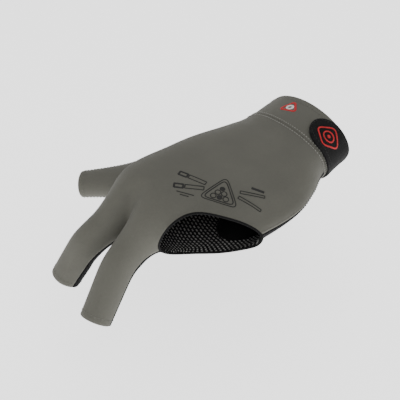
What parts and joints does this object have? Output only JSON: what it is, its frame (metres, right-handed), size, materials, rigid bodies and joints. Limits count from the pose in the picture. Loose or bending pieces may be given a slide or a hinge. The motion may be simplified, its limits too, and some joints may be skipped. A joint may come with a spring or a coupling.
{
  "type": "billiard glove",
  "caption": "Open-fingered stretch glove for the cue's bridge hand, worn over thumb, index and middle finger, with a wrist strap and an open outer side.",
  "frame": {"origin": "centre of the cuff's mouth, where the glove sits on the wrist", "axes": "+X from the wrist to the fingers, +Y to the little finger's side, +Z out of the back of the hand"},
  "size_m": [0.1984, 0.1453, 0.0664],
  "materials": {
    "gray_cloth": "matt knitted stretch cloth",
    "cuff_cloth": "matt stretch cloth band, twice stitched",
    "black_mesh": "matt black stretch mesh",
    "grip_patch": "matt black suede-like patch",
    "strap_webbing": "black hook-and-loop strap with a close nap",
    "edge_tape": "black rolled edge tape"
  },
  "bodies": {
    "root": {"back_panel": "gray_cloth", "thumb_back": "gray_cloth", "cuff_band": "cuff_cloth", "palm_panel": "black_mesh", "palm_patch": "grip_patch", "wrist_strap": "strap_webbing", "opening_binding": "edge_tape"}
  },
  "joints": []
}
